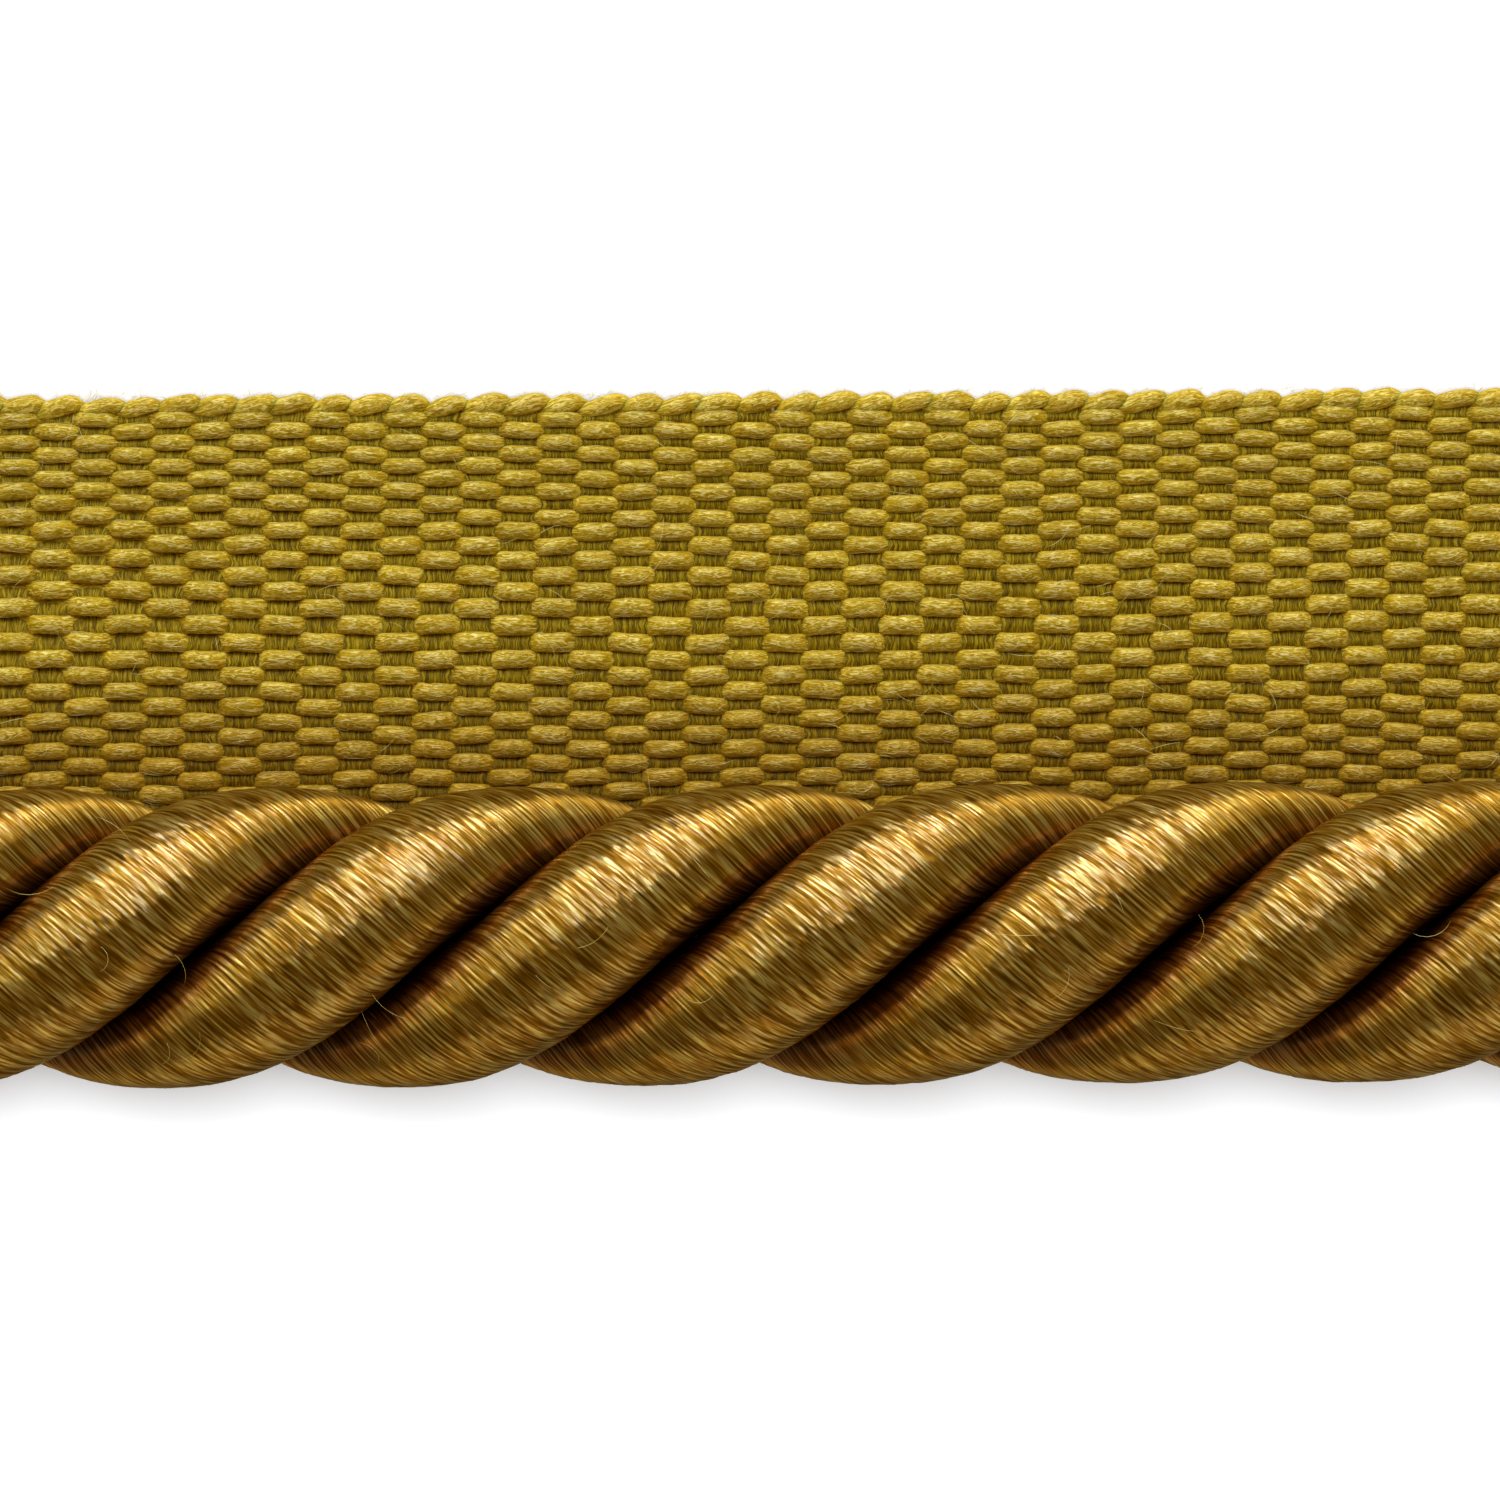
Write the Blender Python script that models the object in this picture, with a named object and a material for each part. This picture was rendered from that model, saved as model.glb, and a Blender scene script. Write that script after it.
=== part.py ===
"""Lip cord trim: three twisted strands laid into a cord, lying along one edge of a flat woven tape."""

import math

import bmesh
import bpy

# Driving dimensions, in metres
CORD_DIAMETER = 0.009525
LAY_LENGTH = 0.02262
LAYS = 3
STRANDS = 3
LIP_REACH = 0.01698
LIP_UNDERLAP = 0.0020
LIP_THICKNESS = 0.0010
CLEARANCE = 0.0003

# A strand's section, as parts of the cord's radius
STRAND_CENTRE = 0.50
STRAND_RADIAL_HALF = 0.50
STRAND_TANGENT_HALF = 0.62
PRESS_SHARPNESS = 14
SECTION_POINTS = 20
STEPS_PER_LAY = 24

# The tape's free edge, in metres: its woven loops, on a slow wander of two waves
LOOP_PITCH = 0.00124
LOOP_DEPTH = 0.00012
POINTS_PER_LOOP = 4
WANDER_DEPTH = 0.00016
SLOW_WAVES = 2
QUICK_WAVES = 5
QUICK_WAVE_PHASE = 1.0

# Colours, linear
LIP_COLOUR = (0.27, 0.175, 0.016, 1.0)
STRAND_COLOUR = (0.16, 0.075, 0.009, 1.0)
LIP_ROUGHNESS = 0.75
STRAND_ROUGHNESS = 0.4

TRIM_LENGTH = LAY_LENGTH * LAYS
CORD_RADIUS = CORD_DIAMETER / 2
CORD_HEIGHT = LIP_THICKNESS + CLEARANCE + CORD_RADIUS


def clear_scene():
    """Remove whatever the file opened with."""
    for item in list(bpy.data.objects):
        bpy.data.objects.remove(item, do_unlink=True)


def make_collection(name):
    """A collection that holds the sub-parts."""
    collection = bpy.data.collections.new(name)
    bpy.context.scene.collection.children.link(collection)
    return collection


def make_material(name, colour, roughness):
    """A plain non-metal finish."""
    material = bpy.data.materials.new(name)
    material.use_nodes = True
    shader = material.node_tree.nodes["Principled BSDF"]
    shader.inputs["Base Color"].default_value = colour
    shader.inputs["Roughness"].default_value = roughness
    shader.inputs["Metallic"].default_value = 0.0
    material.diffuse_color = colour
    return material


def selvedge_drop(x):
    """How far the free edge lies inside the tape's full reach."""
    turn = 2 * math.pi * x / TRIM_LENGTH
    slow = math.sin(SLOW_WAVES * turn)
    quick = math.sin(QUICK_WAVES * turn + QUICK_WAVE_PHASE)
    wander = (2 + slow + quick) / 4
    loop = abs(math.sin(math.pi * x / LOOP_PITCH))
    return WANDER_DEPTH * wander + LOOP_DEPTH * (1 - loop)


def lip_outline():
    """The tape's outline about the cord's axis: a straight inner edge and a looped free edge."""
    half = TRIM_LENGTH / 2
    steps = round(TRIM_LENGTH / LOOP_PITCH) * POINTS_PER_LOOP
    outline = [(-half, -LIP_UNDERLAP), (half, -LIP_UNDERLAP)]
    for step in range(steps + 1):
        x = half - TRIM_LENGTH * step / steps
        outline.append((x, LIP_REACH - selvedge_drop(x)))
    return outline


def make_lip(outline, axis_y, collection):
    """The woven tape: its outline with thickness, lying on the ground."""
    curve = bpy.data.curves.new("lip", "CURVE")
    curve.dimensions = "2D"
    curve.fill_mode = "BOTH"
    curve.extrude = LIP_THICKNESS / 2
    spline = curve.splines.new("POLY")
    spline.points.add(len(outline) - 1)
    for point, (x, y) in zip(spline.points, outline):
        point.co = (x, y, 0.0, 1.0)
    spline.use_cyclic_u = True
    curve.materials.append(make_material("woven_tape", LIP_COLOUR, LIP_ROUGHNESS))
    lip = bpy.data.objects.new("lip", curve)
    lip.location = (0.0, axis_y, LIP_THICKNESS / 2)
    collection.objects.link(lip)


def section_radius(angle):
    """A strand's radius about its own centre: an ellipse pressed flat where it meets its neighbours."""
    outward = math.cos(angle)
    across = math.sin(angle)
    half_sector = math.pi / STRANDS
    wall = STRAND_CENTRE * math.sin(half_sector) - CLEARANCE / 2 / CORD_RADIUS
    ellipse = math.hypot(outward / STRAND_RADIAL_HALF, across / STRAND_TANGENT_HALF)
    pressed = ellipse ** PRESS_SHARPNESS
    for side in (1, -1):
        toward = side * across * math.cos(half_sector) - outward * math.sin(half_sector)
        pressed += max(toward / wall, 0.0) ** PRESS_SHARPNESS
    return CORD_RADIUS * pressed ** (-1 / PRESS_SHARPNESS)


def strand_mesh():
    """The section swept along X while it turns left-handed about the cord's axis."""
    centre = CORD_RADIUS * STRAND_CENTRE
    steps = STEPS_PER_LAY * LAYS
    start_turn = math.pi * LAYS
    bm = bmesh.new()
    ring = []
    for step in range(SECTION_POINTS):
        angle = 2 * math.pi * step / SECTION_POINTS
        radius = section_radius(angle)
        outward = centre + radius * math.cos(angle)
        across = radius * math.sin(angle)
        y = outward * math.cos(start_turn) - across * math.sin(start_turn)
        z = outward * math.sin(start_turn) + across * math.cos(start_turn)
        ring.append(bm.verts.new((-TRIM_LENGTH / 2, y, z)))
    start = bm.faces.new(ring)
    bmesh.ops.spin(
        bm,
        geom=ring + list(start.edges) + [start],
        axis=(1.0, 0.0, 0.0),
        cent=(0.0, 0.0, 0.0),
        dvec=(TRIM_LENGTH / steps, 0.0, 0.0),
        angle=-2 * math.pi * LAYS,
        steps=steps,
    )
    bmesh.ops.recalc_face_normals(bm, faces=bm.faces)
    mesh = bpy.data.meshes.new("strand")
    bm.to_mesh(mesh)
    bm.free()
    mesh.shade_smooth()
    mesh.set_sharp_from_angle(angle=math.radians(60))
    return mesh


def make_strands(axis_y, collection):
    """The strands that lie together as the cord, each turned to its own place."""
    mesh = strand_mesh()
    mesh.materials.append(make_material("satin_strand", STRAND_COLOUR, STRAND_ROUGHNESS))
    for index in range(STRANDS):
        strand = bpy.data.objects.new(f"strand_{index + 1}", mesh)
        strand.location = (0.0, axis_y, CORD_HEIGHT)
        strand.rotation_euler = (2 * math.pi * index / STRANDS, 0.0, 0.0)
        collection.objects.link(strand)


def main():
    """Build the tape and the cord, with the whole trim centred over the origin."""
    clear_scene()
    collection = make_collection("lip_cord_trim")
    outline = lip_outline()
    free_edge = max(y for x, y in outline)
    axis_y = (CORD_RADIUS - free_edge) / 2
    make_lip(outline, axis_y, collection)
    make_strands(axis_y, collection)


main()
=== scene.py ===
"""Looks of the lip cord trim: satin strands of fine filament, a plain-woven tape and its looped edge."""

import math

import bmesh
import bpy
import numpy as np
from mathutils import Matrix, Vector


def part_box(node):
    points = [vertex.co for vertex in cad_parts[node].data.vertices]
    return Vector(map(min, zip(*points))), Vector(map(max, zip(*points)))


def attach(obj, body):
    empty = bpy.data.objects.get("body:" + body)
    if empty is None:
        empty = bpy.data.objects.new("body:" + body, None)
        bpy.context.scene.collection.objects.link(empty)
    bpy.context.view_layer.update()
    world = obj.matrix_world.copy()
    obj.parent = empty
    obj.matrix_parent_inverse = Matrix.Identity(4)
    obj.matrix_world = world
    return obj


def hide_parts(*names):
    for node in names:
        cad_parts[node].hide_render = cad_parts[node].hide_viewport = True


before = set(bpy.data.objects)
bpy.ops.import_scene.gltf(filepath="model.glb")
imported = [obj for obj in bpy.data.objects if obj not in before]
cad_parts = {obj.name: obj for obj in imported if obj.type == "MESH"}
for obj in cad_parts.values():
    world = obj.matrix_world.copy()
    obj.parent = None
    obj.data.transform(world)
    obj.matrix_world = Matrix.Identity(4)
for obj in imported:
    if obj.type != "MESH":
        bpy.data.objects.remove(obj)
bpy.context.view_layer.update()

MM = 0.001


# Sizes read from the frame, in millimetres

def box_mm(node):
    """A node's lowest and highest corners in millimetres."""
    low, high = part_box(node)
    return np.array(low) / MM, np.array(high) / MM


STRAND_NODES = sorted(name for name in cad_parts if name.startswith("strand_"))
LIP_LOW, LIP_HIGH = box_mm("lip")
CORD_LOW = np.min([box_mm(name)[0] for name in STRAND_NODES], axis=0)
CORD_HIGH = np.max([box_mm(name)[1] for name in STRAND_NODES], axis=0)
HALF_LENGTH = CORD_HIGH[0]
CORD_RADIUS = (CORD_HIGH[1] - CORD_LOW[1]) / 2
AXIS_Y = (CORD_HIGH[1] + CORD_LOW[1]) / 2
AXIS_Z = (CORD_HIGH[2] + CORD_LOW[2]) / 2
FREE_EDGE = LIP_HIGH[1]
INNER_EDGE = LIP_LOW[1]
TAPE_TOP = LIP_HIGH[2]

# The cord's lay, in millimetres, and a strand's pressed section, as parts of the cord's radius
LAYS = 3
LAY_LENGTH = 2 * HALF_LENGTH / LAYS
STRAND_CENTRE = 0.50
RADIAL_HALF = 0.50
TANGENT_HALF = 0.63
PRESS_SHARPNESS = 10
STRAND_GAP = 0.03

# How far a filament runs along the cord while it goes round its strand, in millimetres a radian
FILAMENT_ADVANCE = 1.60
FILAMENT_SWAY = 0.53

# The photograph's frame: millimetres a pixel of 1500, and where its centre lies on the trim
PHOTO_PIXELS = 1500
MM_PER_PIXEL = 0.03144
AXIS_PIXEL_Y = 935
BELLY_PIXEL_X = 756


# Small tools

def smooth_noise(u, v, seed, table=257):
    """Value noise from -1 to 1 on a unit lattice, smooth in both directions."""
    rng = np.random.default_rng(seed)
    grid = rng.uniform(-1, 1, (table, table))
    u, v = np.broadcast_arrays(u, v)
    iu, iv = np.floor(u).astype(int), np.floor(v).astype(int)
    fu, fv = u - iu, v - iv
    fu, fv = fu * fu * (3 - 2 * fu), fv * fv * (3 - 2 * fv)
    a, b = iu % table, (iu + 1) % table
    c, d = iv % table, (iv + 1) % table
    low = grid[a, c] * (1 - fu) + grid[b, c] * fu
    high = grid[a, d] * (1 - fu) + grid[b, d] * fu
    return low * (1 - fv) + high * fv


def make_mesh(name, points, quads, uvs=None, material=None):
    """A mesh object from points in millimetres and quads, with one UV pair for each corner."""
    mesh = bpy.data.meshes.new(name)
    quads = np.asarray(quads, dtype=np.int32)
    mesh.vertices.add(len(points))
    mesh.vertices.foreach_set("co", (np.asarray(points) * MM).astype(np.float32).ravel())
    mesh.loops.add(quads.size)
    mesh.loops.foreach_set("vertex_index", quads.ravel())
    mesh.polygons.add(len(quads))
    mesh.polygons.foreach_set("loop_start", np.arange(0, quads.size, 4, dtype=np.int32))
    mesh.update(calc_edges=True)
    if uvs is not None:
        layer = mesh.uv_layers.new(name="yarn")
        layer.uv.foreach_set("vector", np.asarray(uvs, dtype=np.float32).ravel())
    mesh.shade_smooth()
    obj = bpy.data.objects.new(name, mesh)
    bpy.context.scene.collection.objects.link(obj)
    if material:
        mesh.materials.append(material)
    return obj


def tubes(name, rings, material, along, around):
    """Closed tubes joined in one mesh: rings is (tube, ring, side, xyz), along and around are UVs in millimetres."""
    tube_count, ring_count, side_count, _ = rings.shape
    points = rings.reshape(-1, 3)
    index = np.arange(len(points)).reshape(tube_count, ring_count, side_count)
    right = np.roll(index, -1, axis=2)
    quads = np.stack([index[:, :-1], right[:, :-1], right[:, 1:], index[:, 1:]], axis=-1).reshape(-1, 4)
    u = np.broadcast_to(along[..., None], (tube_count, ring_count, side_count))
    v0 = np.broadcast_to(around[:side_count], (tube_count, ring_count, side_count))
    v1 = np.broadcast_to(around[1:], (tube_count, ring_count, side_count))
    corners = [(u[:, :-1], v0[:, :-1]), (u[:, :-1], v1[:, :-1]), (u[:, 1:], v1[:, 1:]), (u[:, 1:], v0[:, 1:])]
    uvs = np.stack([np.stack(pair, axis=-1) for pair in corners], axis=-2).reshape(-1, 2)
    obj = make_mesh(name, points, quads, uvs, material)
    close_ends(obj.data)
    return obj


def close_ends(mesh):
    """Fills the open ends with flat faces."""
    bm = bmesh.new()
    bm.from_mesh(mesh)
    bmesh.ops.remove_doubles(bm, verts=bm.verts, dist=1e-8)
    rim = [edge for edge in bm.edges if edge.is_boundary]
    filled = bmesh.ops.edgeloop_fill(bm, edges=rim)["faces"]
    for face in filled:
        face.smooth = False
    bmesh.ops.recalc_face_normals(bm, faces=bm.faces)
    bm.to_mesh(mesh)
    bm.free()


# Materials

def new_material(name):
    """A material with a bare Principled shader, its nodes and its links."""
    material = bpy.data.materials.new(name)
    material.use_nodes = True
    nodes, links = material.node_tree.nodes, material.node_tree.links
    return material, nodes, links, nodes["Principled BSDF"]


def add_node(nodes, kind, **settings):
    """A node with some of its settings and input values."""
    node = nodes.new(kind)
    for key, value in settings.items():
        if key in node.inputs:
            node.inputs[key].default_value = value
        else:
            setattr(node, key, value)
    return node


def streaks(nodes, links, source, along, across, detail, shift=0.0, distortion=0.0):
    """Noise drawn out along U: along and across are cycles a millimetre."""
    mapping = add_node(nodes, "ShaderNodeMapping")
    mapping.inputs["Scale"].default_value = (along, across, 1.0)
    mapping.inputs["Location"].default_value = (shift, shift, 0.0)
    links.new(source, mapping.inputs["Vector"])
    noise = add_node(nodes, "ShaderNodeTexNoise", Scale=1.0, Detail=detail, Roughness=0.55, Distortion=distortion)
    noise.noise_dimensions = "2D"
    links.new(mapping.outputs["Vector"], noise.inputs["Vector"])
    return noise.outputs["Fac"]


def ramp(nodes, links, factor, stops):
    """A colour ramp through the given places and linear colours."""
    node = nodes.new("ShaderNodeValToRGB")
    elements = node.color_ramp.elements
    while len(elements) < len(stops):
        elements.new(0.5)
    for element, (place, colour) in zip(elements, stops):
        element.position = place
        element.color = (*colour, 1.0)
    links.new(factor, node.inputs["Fac"])
    return node.outputs["Color"]


def multiply(nodes, links, first, second):
    """Two colours multiplied."""
    node = add_node(nodes, "ShaderNodeMix", data_type="RGBA", blend_type="MULTIPLY")
    node.inputs["Factor"].default_value = 1.0
    links.new(first, node.inputs["A"])
    links.new(second, node.inputs["B"])
    return node.outputs["Result"]


def bump(nodes, links, height, depth_mm, normal=None):
    """A bump of a real depth, by itself or over another bump's normal."""
    node = add_node(nodes, "ShaderNodeBump", Strength=1.0, Distance=depth_mm * MM)
    links.new(height, node.inputs["Height"])
    if normal:
        links.new(normal, node.inputs["Normal"])
    return node.outputs["Normal"]


def satin_material():
    """Lustrous filament yarn: the gloss spreads across the filaments and breaks up along them, with painted shade and
    a painted orange bounce towards each strand's hidden seam.
    """
    material, nodes, links, shader = new_material("satin_filament")
    uv = add_node(nodes, "ShaderNodeUVMap", uv_map="yarn").outputs["UV"]
    fine = streaks(nodes, links, uv, 0.4, 16.0, 2.0)
    tilt = streaks(nodes, links, uv, 1.1, 14.0, 0.0, 19.0)
    teeth = streaks(nodes, links, uv, 1.2, 7.5, 0.0, 43.0)
    broad = streaks(nodes, links, uv, 0.25, 3.0, 2.0, 7.0)
    colour = ramp(nodes, links, fine, SATIN_STOPS)
    tone = ramp(nodes, links, broad, SATIN_BROAD_STOPS)
    # Painted shade: the base colour darkens towards each strand's hidden seam, where the grooves between strands lie
    # in shade, with a painted orange bounce just before it; the band is shifted a little to one side of the seam.
    around = add_node(nodes, "ShaderNodeSeparateXYZ")
    links.new(uv, around.inputs["Vector"])
    shifted = add_node(nodes, "ShaderNodeMath", operation="SUBTRACT")
    shifted.inputs[1].default_value = SATIN_GROOVE_SHADE_SHIFT * CORD_RADIUS * RADIAL_HALF
    links.new(around.outputs["X"], shifted.inputs[0])
    away = add_node(nodes, "ShaderNodeMath", operation="ABSOLUTE")
    links.new(shifted.outputs["Value"], away.inputs[0])
    groove_shade_mask = add_node(nodes, "ShaderNodeMapRange", interpolation_type="SMOOTHSTEP")
    groove_shade_mask.inputs["From Min"].default_value = SATIN_GROOVE_SHADE_RANGE[0] * CORD_RADIUS * RADIAL_HALF
    groove_shade_mask.inputs["From Max"].default_value = SATIN_GROOVE_SHADE_RANGE[1] * CORD_RADIUS * RADIAL_HALF
    links.new(away.outputs["Value"], groove_shade_mask.inputs["Value"])
    # depth is the painted groove shade and bounce, multiplied into the base colour.
    depth = ramp(nodes, links, groove_shade_mask.outputs["Result"], SATIN_PAINTED_GROOVE_SHADE_AND_BOUNCE_STOPS)
    links.new(multiply(nodes, links, multiply(nodes, links, colour, tone), depth), shader.inputs["Base Color"])
    toothed = bump(nodes, links, teeth, SATIN_TEETH)
    tilted = bump(nodes, links, tilt, SATIN_BUMP, toothed)
    links.new(tilted, shader.inputs["Normal"])
    links.new(tilted, shader.inputs["Coat Normal"])
    links.new(ramp(nodes, links, fine, SATIN_COAT_STOPS), shader.inputs["Coat Weight"])
    shader.inputs["Coat Roughness"].default_value = 0.23
    shader.inputs["Coat IOR"].default_value = 1.55
    tangent = add_node(nodes, "ShaderNodeTangent", direction_type="UV_MAP", uv_map="yarn")
    links.new(tangent.outputs["Tangent"], shader.inputs["Tangent"])
    shader.inputs["Metallic"].default_value = 0.75
    shader.inputs["Anisotropic"].default_value = 1.0
    shader.inputs["Anisotropic Rotation"].default_value = 0.25
    shader.inputs["Roughness"].default_value = 0.40
    shader.inputs["IOR"].default_value = 1.8
    shader.inputs["Specular IOR Level"].default_value = 0.5
    shader.inputs["Specular Tint"].default_value = (1.0, 0.78, 0.25, 1.0)
    return material


def spun_material(name, stops, bump_depth, along, across):
    """Soft spun yarn: dull, with pale single fibres along it; painted bounce makes it warmer and richer in colour
    where it lies low, and painted shade with a warm bounce darkens it next to the cord.
    """
    material, nodes, links, shader = new_material(name)
    uv = add_node(nodes, "ShaderNodeUVMap", uv_map="yarn").outputs["UV"]
    fine = streaks(nodes, links, uv, along, across, 2.0, distortion=1.2)
    broad = streaks(nodes, links, uv, 0.5, 1.0, 2.0, 3.0)
    colour = ramp(nodes, links, fine, stops)
    tone = ramp(nodes, links, broad, SPUN_BROAD_STOPS)
    where = add_node(nodes, "ShaderNodeTexCoord").outputs["Object"]
    height = add_node(nodes, "ShaderNodeSeparateXYZ")
    links.new(where, height.inputs["Vector"])
    # Painted bounce: lower parts of the yarn are given a warmer, more saturated colour, standing in for light
    # scattered between the fibres.
    rise = add_node(nodes, "ShaderNodeMapRange")
    rise.inputs["From Min"].default_value = 0.45 * TAPE_TOP * MM
    rise.inputs["From Max"].default_value = 0.98 * TAPE_TOP * MM
    links.new(height.outputs["Z"], rise.inputs["Value"])
    painted_light = ramp(nodes, links, rise.outputs["Result"], SPUN_PAINTED_LOW_BOUNCE_STOPS)
    # Painted shade: darker and warmer towards the cord, standing in for the cord's shade and its warm bounce on the
    # tape.
    cord_shade_mask = add_node(nodes, "ShaderNodeMapRange", interpolation_type="SMOOTHSTEP")
    cord_shade_mask.inputs["From Min"].default_value = (AXIS_Y + CORD_RADIUS + CORD_SHADE_REACH) * MM
    cord_shade_mask.inputs["From Max"].default_value = (AXIS_Y + CORD_RADIUS - 0.5) * MM
    links.new(height.outputs["Y"], cord_shade_mask.inputs["Value"])
    painted_cord_shade = ramp(nodes, links, cord_shade_mask.outputs["Result"], SPUN_PAINTED_CORD_SHADE_AND_BOUNCE_STOPS)
    painted_light = multiply(nodes, links, painted_light, painted_cord_shade)
    links.new(bump(nodes, links, fine, bump_depth), shader.inputs["Normal"])
    links.new(multiply(nodes, links, multiply(nodes, links, colour, tone), painted_light), shader.inputs["Base Color"])
    shader.inputs["Subsurface Weight"].default_value = 0.7
    shader.inputs["Subsurface Radius"].default_value = (1.0, 0.7, 0.15)
    shader.inputs["Subsurface Scale"].default_value = 0.5 * MM
    shader.inputs["Roughness"].default_value = 0.55
    shader.inputs["Specular IOR Level"].default_value = 0.35
    shader.inputs["Specular Tint"].default_value = (1.0, 0.9, 0.35, 1.0)
    shader.inputs["Sheen Weight"].default_value = 0.15
    shader.inputs["Sheen Tint"].default_value = (1.0, 0.9, 0.3, 1.0)
    return material


def cut_end_material():
    """The cut end of a strand: the ends of its packed filaments."""
    material, nodes, links, shader = new_material("cut_filament_ends")
    where = add_node(nodes, "ShaderNodeTexCoord").outputs["Object"]
    cells = add_node(nodes, "ShaderNodeTexVoronoi", Scale=9.0 / MM)
    links.new(where, cells.inputs["Vector"])
    colour = ramp(nodes, links, cells.outputs["Distance"], CUT_END_STOPS)
    links.new(colour, shader.inputs["Base Color"])
    links.new(bump(nodes, links, cells.outputs["Distance"], -0.05), shader.inputs["Normal"])
    shader.inputs["Roughness"].default_value = 0.7
    return material


def fibre_material():
    """A single loose fibre: pale and a little glossy."""
    material, nodes, links, shader = new_material("loose_fibre")
    uv = add_node(nodes, "ShaderNodeUVMap", uv_map="yarn").outputs["UV"]
    colour = ramp(nodes, links, streaks(nodes, links, uv, 1.5, 4.0, 1.0), FIBRE_STOPS)
    links.new(colour, shader.inputs["Base Color"])
    shader.inputs["Roughness"].default_value = 0.6
    shader.inputs["Specular Tint"].default_value = (1.0, 0.85, 0.4, 1.0)
    return material


def floor_material():
    """Plain pale ground."""
    material, nodes, links, shader = new_material("pale_ground")
    shader.inputs["Base Color"].default_value = (0.82, 0.85, 0.92, 1.0)
    shader.inputs["Roughness"].default_value = 0.9
    shader.inputs["Specular IOR Level"].default_value = 0.0
    return material


SATIN_STOPS = [(0.32, (0.11, 0.044, 0.000)), (0.5, (0.29, 0.134, 0.001)), (0.70, (0.55, 0.425, 0.105))]
SATIN_COAT_STOPS = [(0.42, (0.0, 0.0, 0.0)), (0.62, (1.0, 1.0, 1.0))]
SATIN_BROAD_STOPS = [(0.3, (0.80, 0.78, 0.75)), (0.7, (1.15, 1.16, 1.2))]
# Painted groove shade and bounce on the strands: where it starts and ends round a strand, its shift to one side, and
# its colours.
SATIN_GROOVE_SHADE_RANGE = (1.24, 1.90)
SATIN_GROOVE_SHADE_SHIFT = 0.14
SATIN_PAINTED_GROOVE_SHADE_AND_BOUNCE_STOPS = [(0.0, (1.0, 1.0, 1.0)), (0.6, (0.88, 0.54, 0.30)), (1.0, (0.12, 0.045, 0.02))]
SATIN_BUMP = 0.035
SATIN_TEETH = 0.03
WARP_STOPS = [(0.36, (0.29, 0.198, 0.001)), (0.50, (0.45, 0.336, 0.005)), (0.66, (0.71, 0.64, 0.33))]
EDGE_STOPS = [(0.36, (0.32, 0.222, 0.004)), (0.50, (0.50, 0.39, 0.035)), (0.66, (0.78, 0.70, 0.34))]
WEFT_STOPS = [(0.38, (0.10, 0.070, 0.001)), (0.52, (0.25, 0.195, 0.005)), (0.66, (0.44, 0.37, 0.04))]
# Painted bounce: colour multipliers from a yarn's lowest parts to its highest, warmer and more saturated low down.
SPUN_PAINTED_LOW_BOUNCE_STOPS = [(0.0, (1.30, 1.00, 0.15)), (0.5, (1.12, 0.99, 0.40)), (1.0, (1.0, 1.0, 1.0))]
# Painted shade and warm bounce next to the cord: how far past the cord's side it reaches, and its colours.
CORD_SHADE_REACH = 5.0
SPUN_PAINTED_CORD_SHADE_AND_BOUNCE_STOPS = [(0.0, (1.0, 1.0, 1.0)), (1.0, (0.68, 0.56, 0.35))]
SPUN_BROAD_STOPS = [(0.3, (0.88, 0.87, 0.84)), (0.7, (1.10, 1.11, 1.14))]
FIBRE_STOPS = [(0.35, (0.55, 0.44, 0.05)), (0.65, (0.85, 0.78, 0.40))]
CUT_END_STOPS = [(0.1, (0.30, 0.16, 0.02)), (0.45, (0.13, 0.06, 0.005)), (0.8, (0.02, 0.008, 0.001))]


# The cord's strands

def section_radius(angle):
    """A strand's radius about its own centre, as in the solids: an ellipse pressed flat by its neighbours."""
    outward, across = np.cos(angle), np.sin(angle)
    half_sector = math.pi / len(STRAND_NODES)
    wall = STRAND_CENTRE * math.sin(half_sector) - STRAND_GAP / 2 / CORD_RADIUS
    pressed = np.hypot(outward / RADIAL_HALF, across / TANGENT_HALF) ** PRESS_SHARPNESS
    for side in (1, -1):
        toward = side * across * math.cos(half_sector) - outward * math.sin(half_sector)
        pressed = pressed + np.maximum(toward / wall, 0.0) ** PRESS_SHARPNESS
    return CORD_RADIUS * pressed ** (-1 / PRESS_SHARPNESS)


def filament_relief(u, angle, seed):
    """Height of the filament surface in millimetres: streaks that run round the strand and fade at its hidden seam."""
    drift = 0.12 * smooth_noise(u / 0.9, angle / 0.7 + 31.6, seed)
    drift = drift + 0.03 * smooth_noise(u / 0.25, angle / 0.6 + 57.2, seed + 1)
    w = u + drift
    fine = smooth_noise(w / 0.06, angle / 0.6 + 11.35, seed + 2)
    middle = smooth_noise(w / 0.10, angle / 0.5 + 17.75, seed + 3)
    bundle = smooth_noise(w / 0.40, angle / 0.9 + 23.45, seed + 4)
    lumps = smooth_noise(u / 3.5, angle / 2.0 + 41.3, seed + 5)
    relief = 0.010 * fine + 0.012 * middle + 0.014 * bundle + 0.03 * lumps - 0.04
    fade = np.clip((math.pi - np.abs(angle)) / 0.5, 0, 1)
    return relief * fade * fade * (3 - 2 * fade)


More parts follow.
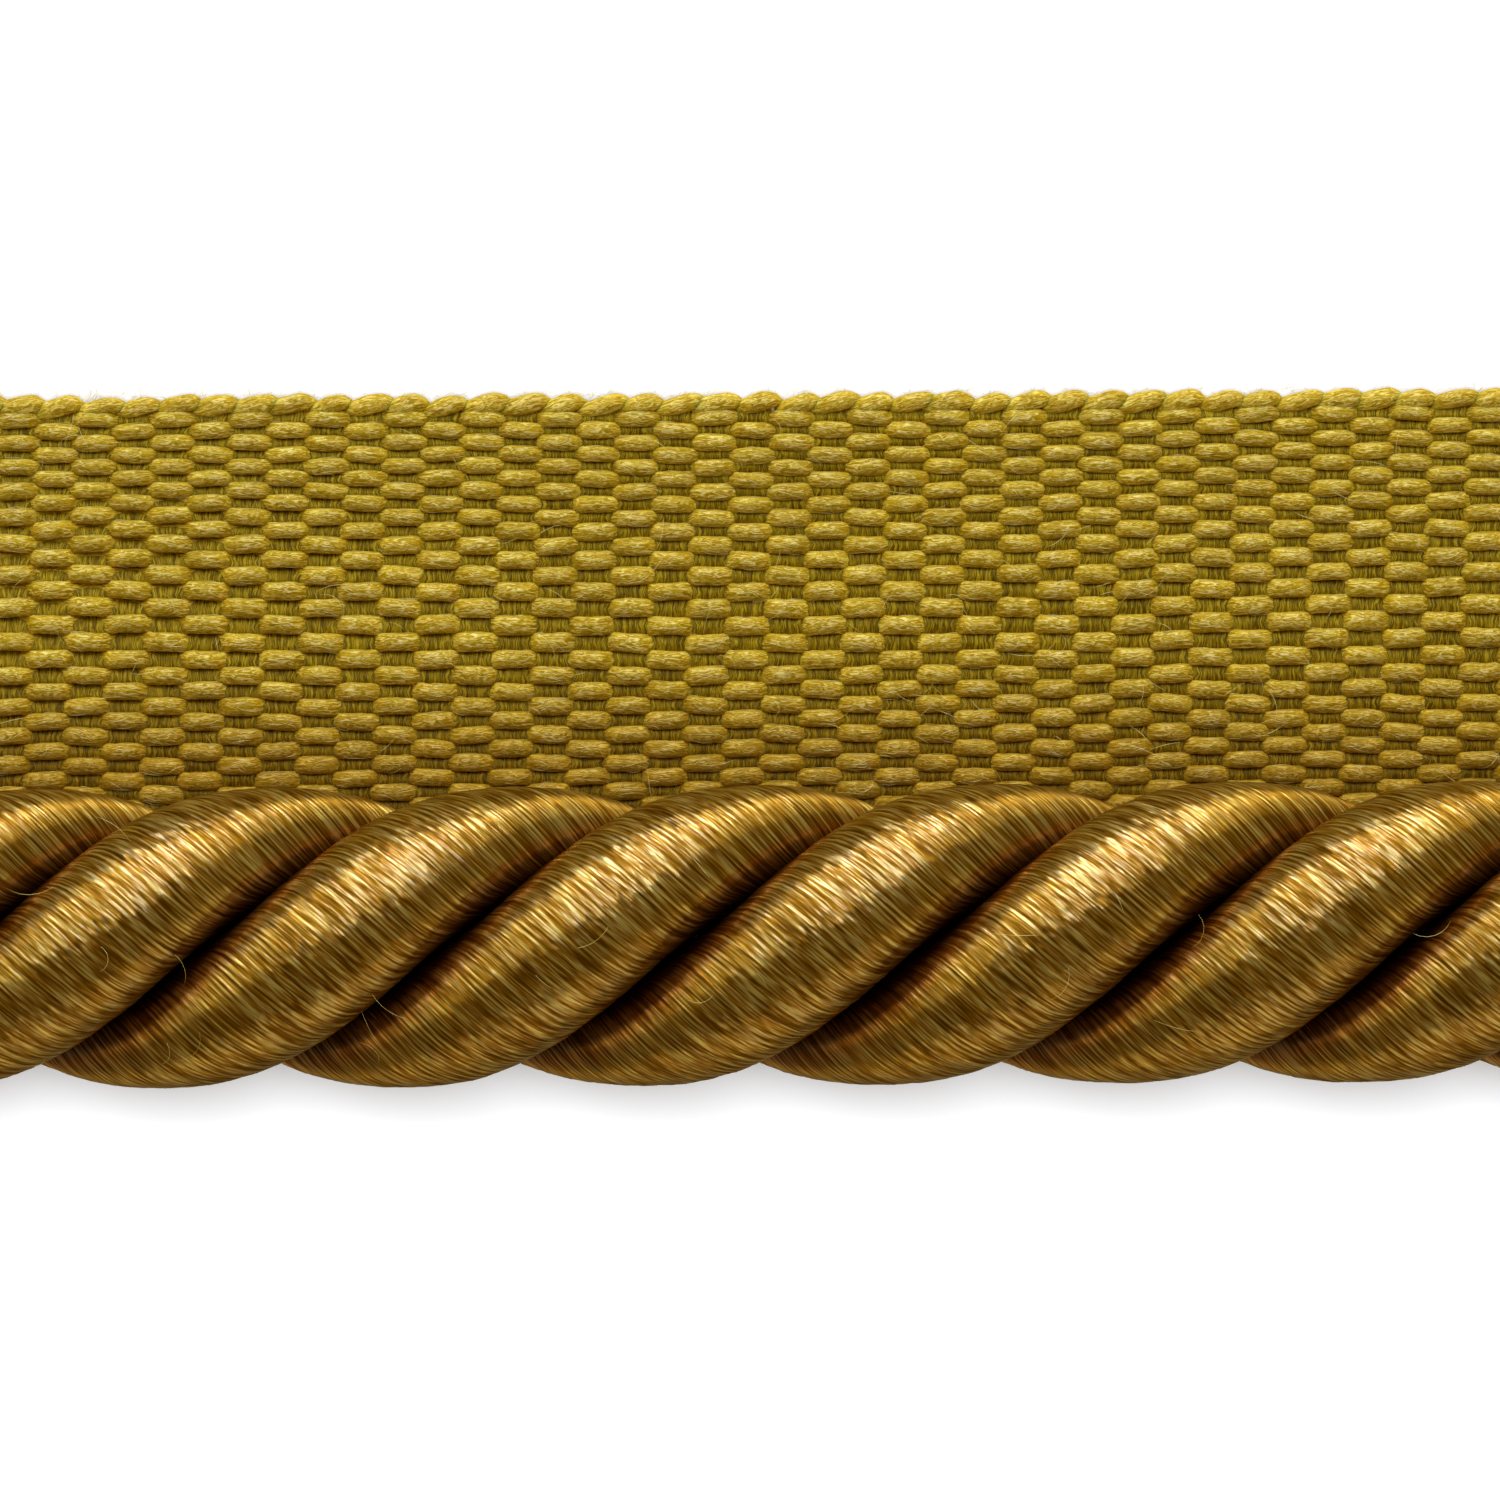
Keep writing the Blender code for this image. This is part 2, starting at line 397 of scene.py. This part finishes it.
def make_strand(index, node, satin, cut_ends):
    """One strand: rows of points that follow its filaments, cut square at both ends."""
    row_pitch = 0.03
    sides = 30
    seam_advance = 2 * FILAMENT_ADVANCE * math.pi
    seam_rows = round(seam_advance / row_pitch)
    row_pitch = seam_advance / seam_rows
    spare_rows = 20
    reach = HALF_LENGTH + FILAMENT_ADVANCE * math.pi + spare_rows * row_pitch
    u = np.arange(-reach, reach, row_pitch)[:, None]
    angle = np.linspace(-math.pi, math.pi, sides, endpoint=False)[None, :]
    x = u + FILAMENT_ADVANCE * angle - FILAMENT_SWAY * np.sin(angle)
    radius = section_radius(angle) + filament_relief(u, angle, 100 * (index + 1))
    outward = CORD_RADIUS * STRAND_CENTRE + radius * np.cos(angle)
    across = radius * np.sin(angle)
    turn = 2 * math.pi * index / len(STRAND_NODES) - 2 * math.pi * x / LAY_LENGTH
    y = AXIS_Y + outward * np.cos(turn) - across * np.sin(turn)
    z = AXIS_Z + outward * np.sin(turn) + across * np.cos(turn)
    points = np.stack([x, y, z], axis=-1).reshape(-1, 3)

    rows = len(u)
    number = np.arange(rows * sides).reshape(rows, sides)
    left = number[:-1, :-1], number[:-1, 1:], number[1:, 1:], number[1:, :-1]
    body = np.stack(left, axis=-1).reshape(-1, 4)
    kept = rows - 1 - seam_rows
    seam = np.stack([number[:kept, -1], number[seam_rows:-1, 0], number[seam_rows + 1:, 0], number[1:kept + 1, -1]], axis=-1)
    quads = np.concatenate([body, seam])

    around = np.linspace(-math.pi, math.pi, sides + 1) * CORD_RADIUS * RADIAL_HALF
    body_u = np.broadcast_to(around[None, :], (rows, sides + 1))
    body_v = np.broadcast_to(u, (rows, sides + 1))
    uv = np.stack([body_u, body_v], axis=-1)
    body_uv = np.stack([uv[:-1, :-2], uv[:-1, 1:-1], uv[1:, 1:-1], uv[1:, :-2]], axis=-2).reshape(-1, 2)
    seam_uv = np.stack([uv[:kept, -2], uv[:kept, -1], uv[1:kept + 1, -1], uv[1:kept + 1, -2]], axis=-2).reshape(-1, 2)
    strand = make_mesh(f"satin_{node}", points, quads, np.concatenate([body_uv, seam_uv]), satin)
    strand.data.materials.append(cut_ends)
    cut_square(strand.data)
    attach(strand, "root")
    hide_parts(node)
    return strand


def cut_square(mesh):
    """Cuts the strand off at both ends of the trim and closes it with flat ends."""
    bm = bmesh.new()
    bm.from_mesh(mesh)
    for side in (1, -1):
        geometry = list(bm.verts) + list(bm.edges) + list(bm.faces)
        plane = Vector((side * HALF_LENGTH * MM, 0, 0))
        cut = bmesh.ops.bisect_plane(bm, geom=geometry, plane_co=plane, plane_no=(side, 0, 0), clear_outer=True, dist=1e-7)
        rim = [item for item in cut["geom_cut"] if isinstance(item, bmesh.types.BMEdge)]
        for face in bmesh.ops.edgeloop_fill(bm, edges=rim, mat_nr=1)["faces"]:
            face.smooth = False
    bmesh.ops.recalc_face_normals(bm, faces=bm.faces)
    bm.to_mesh(mesh)
    bm.free()


# The woven tape: warps run along the trim, wefts run across it

COLUMNS = 55
COLUMN_PITCH = 2 * HALF_LENGTH / COLUMNS
COLUMN_START = 1.495
COLUMN_LEAN = 0.0375
EDGE_OVERHANG = 0.20
EDGE_LOOP_SHIFT = 0.10
FIRST_ROW_DEPTH = 0.77
ROW_PITCHES = [(0.0, 0.38), (2.5, 0.387), (5.0, 0.489), (7.6, 0.556), (9.2, 0.478), (10.5, 0.452), (18.0, 0.44)]
WARP_SWING = 0.18
WARP_HALF_HEIGHT = 0.24
WEFT_SWING = 0.15
WEFT_HALF_WIDTH = 0.65
WEFT_HALF_HEIGHT = 0.06
MIDDLE_Z = TAPE_TOP / 2
TAPE_EDGE = FREE_EDGE + EDGE_OVERHANG


def row_pitch_at(depth):
    """Millimetres from one warp yarn to the next, by how far in from the free edge it lies."""
    places, pitches = zip(*ROW_PITCHES)
    return np.interp(depth, places, pitches)


def row_depths():
    """Where the warp yarns lie, in from the free edge."""
    depths = [FIRST_ROW_DEPTH]
    while depths[-1] + row_pitch_at(depths[-1]) < TAPE_EDGE - INNER_EDGE - 0.35:
        depths.append(depths[-1] + row_pitch_at(depths[-1]))
    return np.array(depths)


def column_at(x, depth):
    """Which column a place lies in: whole numbers are the borders, and the columns lean towards -X."""
    return (x + COLUMN_LEAN * depth) / COLUMN_PITCH + COLUMN_START


def column_middle(column, depth):
    """The place where a column's middle lies."""
    return (column + 0.5 - COLUMN_START) * COLUMN_PITCH - COLUMN_LEAN * depth


def warp_places(depth, steps):
    """Places along the trim for a warp's rings, closer together where it dives at the column borders."""
    part = np.arange((COLUMNS + 1) * steps + 1)[None, :] / steps
    part = part - 0.45 * np.sin(2 * math.pi * part) / (2 * math.pi)
    first = np.floor(column_at(-HALF_LENGTH, depth))
    return np.clip(column_middle(first + part - 0.5, depth), -HALF_LENGTH, HALF_LENGTH)


def warp_course(x, row, depth):
    """A warp's middle line and half sizes: it passes over and under the wefts, fat where it floats, drawn in where it dives."""
    column = column_at(x, depth)
    wave = np.cos(math.pi * (column - 0.5 + row))
    over = np.tanh(1.8 * wave) / math.tanh(1.8)
    swell = np.abs(wave) ** 0.55
    cell = np.round(column - 0.5)
    fatness = 1 + 0.08 * smooth_noise(cell * 1.31 + 200, row * 3.7 + 0.5, 11)
    pitch = row_pitch_at(depth)
    half_width = 0.60 * pitch * (1 - swell) + (0.20 + 0.20 * pitch) * fatness * swell
    half_height = WARP_HALF_HEIGHT * (0.72 + 0.28 * swell) * (1 + 0.08 * smooth_noise(cell * 1.7 + 90, row * 2.3, 12))
    tip = 0.045 * smooth_noise(cell * 1.9 + 17, row * 2.9, 17) * (column - 0.5 - cell) * 2
    sag = 0.03 * smooth_noise(x / 1.3 + 50, row * 5.1, 13) + 0.05 * smooth_noise(x / 9.0 + 50, row * 0.25 + 80, 14)
    bow = 0.19 * np.exp(-((x + 21) / 8) ** 2) * np.sin(math.pi * np.clip(depth / 12, 0, 1))
    y = TAPE_EDGE - depth + sag + tip + bow
    z = MIDDLE_Z + WARP_SWING * over * (1 + 0.08 * smooth_noise(cell * 1.3 + 30, row * 4.3, 15))
    return y, z, half_width, half_height


def warp_lump(x, row, angle):
    """How much a warp bulges at a place along it and an angle round it."""
    return 1 + 0.07 * smooth_noise(x / 0.23 + row * 7.7, angle * 1.3 + 60, 16)


def warp_yarns(name, rows, depths, steps, sides, material):
    """Warp yarns as tubes."""
    row = np.array(rows)[:, None]
    depth = depths[row]
    x = warp_places(depth, steps)
    y, z, half_width, half_height = warp_course(x, row, depth)
    angle = 2 * math.pi * np.arange(sides) / sides
    lump = warp_lump(x[..., None], row[..., None], angle)
    ring_x = np.broadcast_to(x[..., None], half_width.shape + (sides,))
    ring_y = y[..., None] + half_width[..., None] * np.cos(angle) * lump
    ring_z = np.maximum(z[..., None] + half_height[..., None] * np.sin(angle) * lump, 0.0)
    rings = np.stack([ring_x, ring_y, ring_z], axis=-1)
    around = np.linspace(0, 1.7, sides + 1)
    yarns = tubes(name, rings, material, x + row * 13.7, around)
    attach(yarns, "root")
    return yarns


def weft_yarns(name, depths, material):
    """Flat weft yarns across the tape, one in each column, over the odd warps and under the even ones."""
    steps = 3
    knots = np.concatenate([[0.28], depths, [TAPE_EDGE - INNER_EDGE - 0.02]])
    place = np.arange((len(knots) - 1) * steps + 1)[None, :] / steps
    depth = np.interp(place, np.arange(len(knots)), knots)
    column = np.arange(math.floor(column_at(-HALF_LENGTH, 0)), math.floor(column_at(HALF_LENGTH, depth.max())) + 1)[:, None]
    end = HALF_LENGTH - 0.3 * WEFT_HALF_WIDTH
    x = np.clip(column_middle(column, depth), -end, end)
    wave = np.cos(math.pi * (place - 1 + column))
    inside = np.clip(np.minimum(place, place.max() - place), 0, 1)
    z = MIDDLE_Z - WEFT_SWING * wave * inside
    y = TAPE_EDGE - depth + np.zeros_like(x)
    profile = [(-1.0, 0.0), (-0.8, 0.8), (-0.3, 1.0), (0.3, 1.0), (0.8, 0.8), (1.0, 0.0), (0.8, -0.8), (-0.8, -0.8)]
    across, up = np.array(profile).T
    width = WEFT_HALF_WIDTH * (1 - 0.24 * np.abs(wave)) * (1 + 0.04 * smooth_noise(column * 3.3 + 7, depth / 0.9, 21))
    ring_x = np.clip(x[..., None] + width[..., None] * across, -HALF_LENGTH, HALF_LENGTH)
    ring_y = np.broadcast_to(y[..., None], ring_x.shape)
    ring_z = z[..., None] + WEFT_HALF_HEIGHT * up
    rings = np.stack([ring_x, ring_y, ring_z], axis=-1)
    around = np.array([0, 0.25, 0.5, 0.9, 1.15, 1.3, 1.55, 2.3, 2.55])
    yarns = tubes(name, rings, material, depth + column * 11.3, around)
    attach(yarns, "root")
    return yarns


def edge_loops(name, material):
    """The free edge: each weft turns in a fat loop that rises towards +X and overlaps the next one."""
    steps = 14
    sides = 12
    first = math.floor(column_at(-HALF_LENGTH, 0))
    column = np.arange(first, first + COLUMNS + 2)[:, None]
    rng = np.random.default_rng(41)
    spread = rng.uniform(-1, 1, (6, len(column), 1))
    part = np.linspace(-1, 1, steps)[None, :]
    length = 0.84 + 0.10 * spread[0]
    slant = 0.24 + 0.05 * spread[2]
    body = np.sqrt(np.clip(1 - np.abs(part) ** 2.6, 0.03, 1))
    x = column_middle(column, 0) + EDGE_LOOP_SHIFT + 0.10 * spread[1] + length * part
    y = TAPE_EDGE - 0.30 + 0.05 * spread[3] + slant * part - 0.20 * np.clip(part, 0, 1) ** 3
    z = MIDDLE_Z + 0.14 - 0.22 * part ** 2
    half_width = (0.29 + 0.03 * spread[4]) * body
    half_height = 0.25 * body
    angle = 2 * math.pi * np.arange(sides) / sides
    lump = 1 + 0.08 * smooth_noise(x[..., None] / 0.3 + 40, angle * 1.2 + 30, 34)
    ring_x = np.clip(x[..., None] - half_width[..., None] * np.cos(angle) * 0.4, -HALF_LENGTH, HALF_LENGTH)
    ring_y = y[..., None] + half_width[..., None] * np.cos(angle) * lump
    ring_z = np.maximum(z[..., None] + half_height[..., None] * np.sin(angle) * lump, 0.0)
    rings = np.stack([ring_x, ring_y, ring_z], axis=-1)
    around = np.linspace(0, 1.6, sides + 1)
    yarns = tubes(name, rings, material, x + 5.5 * column, around)
    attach(yarns, "root")
    return yarns


# Loose fibres

def fibre_tubes(name, x, y, z, thickness, material):
    """Thin three-sided tubes along the given paths, tapered at both ends."""
    sides = 3
    heading = np.arctan2(np.gradient(y, axis=1), np.gradient(x, axis=1))
    part = np.linspace(-1, 1, x.shape[1])
    radius = thickness * np.sqrt(np.clip(1.02 - part ** 2, 0.1, 1))
    angle = 2 * math.pi * np.arange(sides) / sides
    side = np.cos(angle) * radius[:, None]
    ring_x = x[..., None] - np.sin(heading)[..., None] * side
    ring_y = y[..., None] + np.cos(heading)[..., None] * side
    ring_z = z[..., None] + np.sin(angle) * radius[:, None]
    rings = np.stack([ring_x, ring_y, ring_z], axis=-1)
    fibres = tubes(name, rings, material, x, np.linspace(0, 0.08, sides + 1))
    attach(fibres, "root")
    return fibres


def float_fibres(name, rows, depths, material):
    """Pale fibres that lie on the warps' floats, each along its own float and curling round it."""
    steps = 6
    count = 3000
    rng = np.random.default_rng(78)
    row = rng.choice(rows, count)[:, None]
    depth = depths[row]
    half_columns = rng.integers(-COLUMNS // 4 + 2, COLUMNS // 4 + 1, count)[:, None]
    middle = column_middle(2 * half_columns + row % 2, depth)
    length = rng.uniform(0.25, 0.85, count)[:, None]
    heading = rng.normal(0, 0.35, count)[:, None] + rng.normal(0, 0.9, count)[:, None] * np.linspace(-0.5, 0.5, steps)
    start = rng.uniform(-0.45, 0.45, count)[:, None] * COLUMN_PITCH - length / 2
    x = middle + start + np.cumsum(np.cos(heading) * length / (steps - 1), axis=1)
    y, z, half_width, half_height = warp_course(x, row, depth)
    turned = np.cumsum(np.sin(heading) * length / (steps - 1), axis=1) / half_width
    angle = np.clip(math.pi / 2 + rng.normal(-0.15, 0.6, count)[:, None] + turned, 0.2, math.pi - 0.2)
    proud = 1.0 + rng.uniform(0.00, 0.08, count)[:, None]
    bulge = warp_lump(x, row, angle) * proud
    y = y + half_width * np.cos(angle) * bulge
    z = z + half_height * np.sin(angle) * bulge
    return fibre_tubes(name, x, y, z, 0.0065, material)


def loose_fibres(name, material):
    """Single fibres that have come out of the yarns, curling just over the cord and the tape."""
    steps = 7
    rng = np.random.default_rng(77)
    on_tape, on_edge, on_cord = 200, 900, 36
    count = on_tape + on_edge + on_cord
    kinds = np.repeat(["tape", "edge", "cord"], (on_tape, on_edge, on_cord))

    def by_kind(tape, edge, cord):
        return np.select([kinds == "tape", kinds == "edge"], [tape, edge], cord)

    turn = rng.uniform(-0.9, 1.2, count)
    start_x = rng.uniform(-HALF_LENGTH + 1.5, HALF_LENGTH - 1.5, count)
    tape_y = rng.uniform(AXIS_Y + CORD_RADIUS + 0.4, TAPE_EDGE - 0.1, count)
    start_y = by_kind(tape_y, rng.uniform(TAPE_EDGE - 0.18, TAPE_EDGE + 0.03, count), AXIS_Y)
    start_z = by_kind(0.93 * TAPE_TOP, rng.uniform(0.4, 0.95, count) * TAPE_TOP, AXIS_Z)
    heading = by_kind(rng.normal(0, 0.7, count), rng.normal(0.3, 0.45, count), rng.normal(-0.75, 0.35, count))
    curl = rng.normal(0, 1.1, count)
    length = by_kind(rng.uniform(0.5, 1.4, count), rng.uniform(0.15, 0.40, count), rng.uniform(0.6, 1.7, count))
    lift = by_kind(rng.uniform(0.02, 0.10, count), 0.0, rng.uniform(0.02, 0.10, count))
    part = np.linspace(0, 1, steps)[None, :]
    bearing = heading[:, None] + curl[:, None] * part
    step = length[:, None] / (steps - 1)
    run_x = np.cumsum(np.cos(bearing) * step, axis=1)
    run_y = np.cumsum(np.sin(bearing) * step, axis=1)
    arch = lift[:, None] * np.sin(math.pi * part)
    round_cord = (kinds == "cord")[:, None]
    around = turn[:, None] + run_y / CORD_RADIUS
    height = CORD_RADIUS * 0.985 + arch
    x = start_x[:, None] + run_x
    y = np.where(round_cord, AXIS_Y + height * np.sin(around), start_y[:, None] + run_y)
    z = np.where(round_cord, AXIS_Z + height * np.cos(around), start_z[:, None] + arch)
    return fibre_tubes(name, x, y, z, 0.0065, material)


# Camera, lights and ground

def add_camera():
    """Looks straight down, with the trim across the frame as in the photograph."""
    lens, sensor = 300.0, 36.0
    frame_width = PHOTO_PIXELS * MM_PER_PIXEL
    distance = lens / sensor * frame_width
    data = bpy.data.cameras.new("camera")
    data.lens = lens
    data.sensor_width = sensor
    data.sensor_height = sensor
    data.sensor_fit = "HORIZONTAL"
    data.clip_start = 0.01
    data.clip_end = 10.0
    camera = bpy.data.objects.new("camera", data)
    centre_x = (PHOTO_PIXELS / 2 - BELLY_PIXEL_X) * MM_PER_PIXEL
    centre_y = AXIS_Y + (AXIS_PIXEL_Y - PHOTO_PIXELS / 2) * MM_PER_PIXEL
    camera.location = Vector((centre_x, centre_y, AXIS_Z + distance)) * MM
    camera.rotation_euler = (0, 0, math.radians(-0.3))
    bpy.context.scene.collection.objects.link(camera)
    bpy.context.scene.camera = camera


def add_light(name, azimuth, elevation, distance, size, watts, colour, lit):
    """A soft light that faces the trim: azimuth from +X towards +Y, in degrees, lengths in metres."""
    data = bpy.data.lights.new(name, "AREA")
    data.shape = "RECTANGLE"
    data.size, data.size_y = size
    data.energy = watts
    data.color = colour
    light = bpy.data.objects.new(name, data)
    a, e = math.radians(azimuth), math.radians(elevation)
    light.location = distance * Vector((math.cos(a) * math.cos(e), math.sin(a) * math.cos(e), math.sin(e)))
    light.rotation_euler = light.location.to_track_quat("Z", "Y").to_euler()
    light.light_linking.receiver_collection = lit
    bpy.context.scene.collection.objects.link(light)


WHITE = (1.0, 1.0, 1.0)
WARM = (1.0, 0.80, 0.42)
TRIM_LIGHTS = [
    ("top_low", 90, 14, 0.7, (0.25, 0.32), 2.9, WHITE),
    ("top_middle", 90, 38, 0.7, (0.25, 0.32), 1.5, WHITE),
    ("top_high", 90, 62, 0.7, (0.25, 0.32), 1.5, WHITE),
    ("left_top", 135, 30, 0.7, (0.25, 0.32), 0.5, WHITE),
    ("front_low", 290, 14, 0.7, (0.6, 0.6), 1.4, WARM),
]
GROUND_LIGHT = ("ground_light", 90, 89, 1.0, (0.5, 0.5), 13.0, WHITE)


def add_ground():
    """A pale floor, level with the tape's underside."""
    bpy.ops.mesh.primitive_plane_add(size=2.0, location=(0, 0, -0.00002))
    ground = bpy.context.object
    ground.name = "ground"
    ground.data.materials.append(floor_material())
    ground.visible_diffuse = False
    ground.visible_glossy = False
    return ground


def add_lights(pieces, ground):
    """Softboxes over the tape's side for the trim, and one straight overhead that keeps the ground white."""
    for name, lit_objects, lights in (("lit_trim", pieces, TRIM_LIGHTS), ("lit_ground", [ground], [GROUND_LIGHT])):
        lit = bpy.data.collections.new(name)
        for item in lit_objects:
            lit.objects.link(item)
        for light in lights:
            add_light(*light, lit)


def set_world():
    """Dim, warm, even surroundings."""
    world = bpy.data.worlds.new("surroundings")
    world.use_nodes = True
    background = world.node_tree.nodes["Background"]
    background.inputs["Color"].default_value = (1.0, 0.80, 0.38, 1.0)
    background.inputs["Strength"].default_value = 0.25
    scene = bpy.context.scene
    scene.world = world
    scene.view_settings.view_transform = "Standard"


def main():
    """Builds every piece, then the stage."""
    satin = satin_material()
    cut_ends = cut_end_material()
    warp = spun_material("warp_yarn", WARP_STOPS, 0.03, 3.2, 15.0)
    weft = spun_material("weft_yarn", WEFT_STOPS, 0.02, 1.5, 14.0)
    strands = [make_strand(index, node, satin, cut_ends) for index, node in enumerate(STRAND_NODES)]
    depths = row_depths()
    print("warp rows", len(depths), [round(float(value), 2) for value in depths])
    seen = [row for row, depth in enumerate(depths) if depth < 13.0]
    middle = len(seen) // 2
    outer = warp_yarns("warp_outer", seen[:middle], depths, 10, 9, warp)
    inner = warp_yarns("warp_inner", seen[middle:], depths, 10, 9, warp)
    covered = warp_yarns("warp_under_cord", list(range(len(seen), len(depths))), depths, 4, 6, warp)
    edge = edge_loops("looped_edge", spun_material("edge_yarn", EDGE_STOPS, 0.03, 3.2, 15.0))
    wefts = weft_yarns("weft", depths, weft)
    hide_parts("lip")
    fibre = fibre_material()
    on_floats = float_fibres("float_fibres", seen, depths, fibre)
    loose = loose_fibres("loose_fibres", fibre)
    add_camera()
    add_lights(strands + [outer, inner, covered, edge, wefts, on_floats, loose], add_ground())
    set_world()


main()
